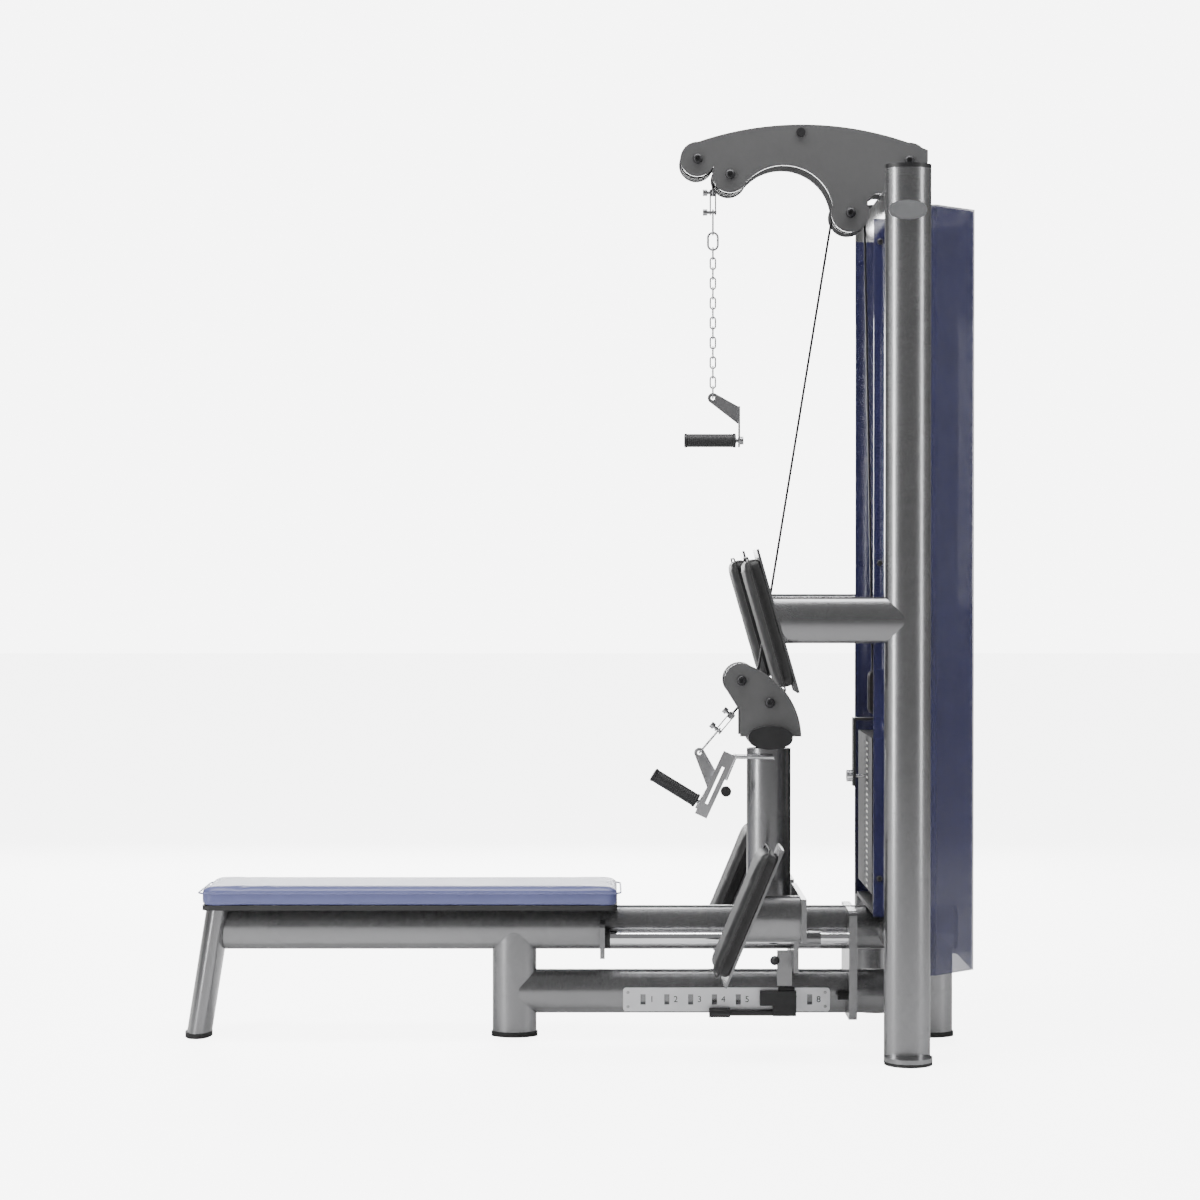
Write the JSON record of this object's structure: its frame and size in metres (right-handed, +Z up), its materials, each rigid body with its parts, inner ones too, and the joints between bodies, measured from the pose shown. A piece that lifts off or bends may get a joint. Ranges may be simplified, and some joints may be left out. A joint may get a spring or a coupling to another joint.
{
  "type": "lat pulldown machine",
  "caption": "Lat pulldown and low row machine with a weight stack, cable handles, bench, chest pads and a sliding foot carriage.",
  "frame": {"origin": "centre of the footprint, on the floor", "axes": "+X from the bench to the weight stack, +Z up, near column at -Y"},
  "size_m": [1.954, 0.884, 2.268],
  "materials": {
    "frame": "metallic grey powder coat",
    "rubber": "matt black",
    "cap": "black moulded",
    "badge": "satin",
    "pad_black": "soft black vinyl",
    "bench_vinyl": "blue-violet vinyl",
    "board": "black painted plywood",
    "side_plate": "satin grey",
    "bolt": "black oxide",
    "chrome": "polished",
    "steel": "brushed",
    "scale": "satin",
    "stack": "black satin",
    "pulley": "black nylon",
    "cable": "black nylon coat",
    "grip": "textured black",
    "cover": "translucent blue"
  },
  "bodies": {
    "root": {"upper_beam": "frame", "bench_leg": "frame", "middle_leg": "frame", "lower_beam": "frame", "rear_post": "frame", "columns": "frame", "top_cross_beam": "frame", "base_cross_tubes": "frame", "pad_arms": "frame", "low_post": "frame", "low_head_tube": "frame", "rod_brackets": "frame", "rubber_feet": "rubber", "rubber_bumpers": "rubber", "end_caps": "cap", "holder_knob": "cap", "column_badge": "badge", "chest_pad_near": "pad_black", "chest_pad_far": "pad_black", "bench_pad": "bench_vinyl", "bench_board": "board", "top_plates": "side_plate", "low_plates": "side_plate", "pulley_bolts": "bolt", "cover_screws": "bolt", "carriage_rods": "chrome", "stack_guide_rods": "chrome", "handle_holder": "chrome", "scale_plate": "scale", "stack_base": "stack", "lower_plates": "stack", "cable_fixed": "cable", "cable_upper_end": "cable", "cable_low_end": "cable", "cable_stack_runs": "cable", "cover": "cover"},
    "stack": {"raised_plates": "stack", "selector_stem": "steel", "floating_housing": "stack", "stack_hanger": "stack", "cable_floating_wrap": "cable"},
    "selector": {"selector_pin": "chrome"},
    "nose_wheel": {"nose_pulley": "pulley"},
    "second_wheel": {"second_pulley": "pulley"},
    "rear_wheel": {"rear_pulley": "pulley"},
    "return_wheel": {"return_pulley": "pulley"},
    "floating_wheel": {"floating_pulley": "pulley"},
    "low_nose_wheel": {"low_nose_pulley": "pulley"},
    "low_second_wheel": {"low_second_pulley": "pulley"},
    "carriage": {"carriage": "frame", "foot_pad_near": "pad_black", "foot_pad_far": "pad_black"},
    "latch": {"latch_lever": "stack"},
    "upper_handle": {"upper_coupling": "steel", "chain": "steel", "upper_bracket": "steel"},
    "upper_grip": {"upper_grip": "grip"},
    "low_handle": {"low_coupling": "steel", "low_bracket": "steel"},
    "low_grip": {"low_grip": "grip"}
  },
  "joints": [
    {"name": "stack_lift", "type": "slide", "parent": "root", "child": "stack", "axis": [0, 0, 1], "range_m": [0, 0.25], "deforming": ["cable_stack_runs"]},
    {"name": "upper_pull", "type": "slide", "parent": "root", "child": "upper_handle", "axis": [0, 0, -1], "range_m": [0, 0.5], "deforming": ["cable_upper_end"]},
    {"name": "low_pull", "type": "slide", "parent": "root", "child": "low_handle", "axis": [-1, 0, 0], "range_m": [0, 0.6], "deforming": ["cable_low_end"]},
    {"name": "pin_pull", "type": "slide", "parent": "stack", "child": "selector", "axis": [-1, 0, 0], "range_m": [0, 0.08]},
    {"name": "carriage_slide", "type": "slide", "parent": "root", "child": "carriage", "axis": [1, 0, 0], "range_m": [-0.3558, 0.058]},
    {"name": "latch_swing", "type": "hinge", "parent": "carriage", "child": "latch", "pos_m": [0.524, -0.054, 0.124], "axis": [-1, 0, 0], "range_deg": [0, 20]},
    {"name": "nose_spin", "type": "hinge", "parent": "root", "child": "nose_wheel", "pos_m": [0.3025, 0, 2.1825], "axis": [0, -1, 0], "continuous": true},
    {"name": "second_spin", "type": "hinge", "parent": "root", "child": "second_wheel", "pos_m": [0.383, 0, 2.1435], "axis": [0, -1, 0], "continuous": true},
    {"name": "rear_spin", "type": "hinge", "parent": "root", "child": "rear_wheel", "pos_m": [0.8265, 0, 2.1775], "axis": [0, -1, 0], "continuous": true},
    {"name": "return_spin", "type": "hinge", "parent": "root", "child": "return_wheel", "pos_m": [0.681, 0, 2.049], "axis": [0, -1, 0], "continuous": true},
    {"name": "floating_spin", "type": "hinge", "parent": "stack", "child": "floating_wheel", "pos_m": [0.784, 0, 0.8654], "axis": [0, -1, 0], "continuous": true},
    {"name": "low_nose_spin", "type": "hinge", "parent": "root", "child": "low_nose_wheel", "pos_m": [0.412, 0, 0.891], "axis": [0, -1, 0], "continuous": true},
    {"name": "low_second_spin", "type": "hinge", "parent": "root", "child": "low_second_wheel", "pos_m": [0.482, 0, 0.836], "axis": [0, -1, 0], "continuous": true},
    {"name": "upper_grip_spin", "type": "hinge", "parent": "upper_handle", "child": "upper_grip", "pos_m": [0.3358, 0, 1.4886], "axis": [1, 0, 0], "continuous": true},
    {"name": "low_grip_spin", "type": "hinge", "parent": "low_handle", "child": "low_grip", "pos_m": [0.24827, 0, 0.6214], "axis": [0.8526, 0, -0.5225], "continuous": true}
  ],
  "couplings": [
    {"joint": "upper_pull", "follows": "stack_lift", "ratio": 2},
    {"joint": "second_spin", "follows": "stack_lift", "rad_per_m": 49.751},
    {"joint": "rear_spin", "follows": "stack_lift", "rad_per_m": 49.751},
    {"joint": "floating_spin", "follows": "stack_lift", "rad_per_m": 24.876},
    {"joint": "return_spin", "follows": "low_pull", "rad_per_m": 24.876},
    {"joint": "low_nose_spin", "follows": "low_pull", "rad_per_m": -24.876}
  ]
}
